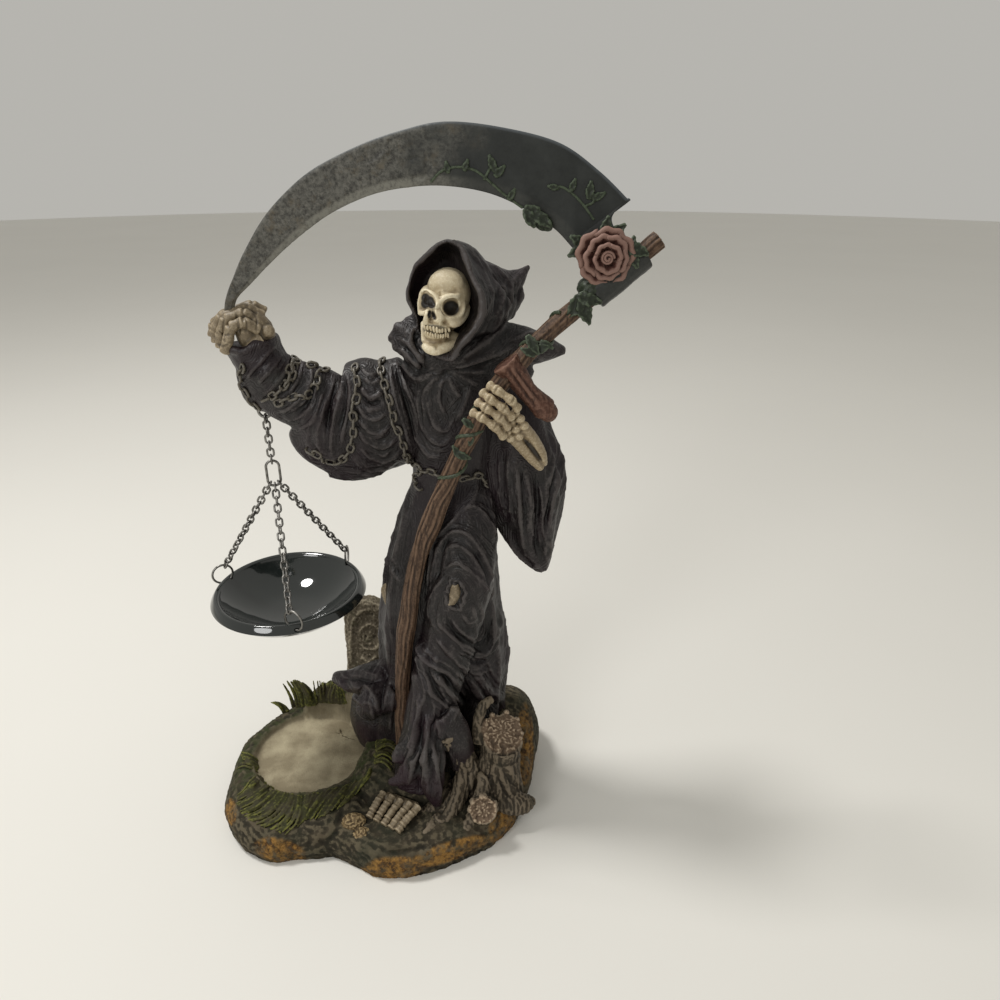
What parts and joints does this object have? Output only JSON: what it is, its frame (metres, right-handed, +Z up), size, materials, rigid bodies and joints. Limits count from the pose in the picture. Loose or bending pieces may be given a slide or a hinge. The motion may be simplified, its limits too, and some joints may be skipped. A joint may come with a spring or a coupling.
{
  "type": "grim reaper figurine",
  "caption": "Hooded skeletal reaper with a scythe, on a rocky base with a tealight recess, holding an oil dish on chains over it.",
  "frame": {"origin": "centre of the base's underside, on the surface that it stands on", "axes": "+Z up, -Y towards the front that the skull faces, +X to the viewer's right"},
  "size_m": [0.1928, 0.1245, 0.2996],
  "materials": {
    "painted_resin": "dry-brushed matt paint on cast resin",
    "painted_blade": "worn satin paint on cast resin",
    "black_glaze": "glossy black glaze",
    "chain_metal": "dark plated wire"
  },
  "bodies": {
    "root": {"reaper_casting": "painted_resin", "scythe_blade": "painted_blade", "oil_dish": "black_glaze", "wrist_eye": "chain_metal", "chain_top": "chain_metal", "chain_hook": "chain_metal", "chain_right": "chain_metal", "chain_left": "chain_metal", "chain_front": "chain_metal", "dish_ring_right": "chain_metal", "dish_ring_left": "chain_metal", "dish_ring_front": "chain_metal"}
  },
  "joints": []
}
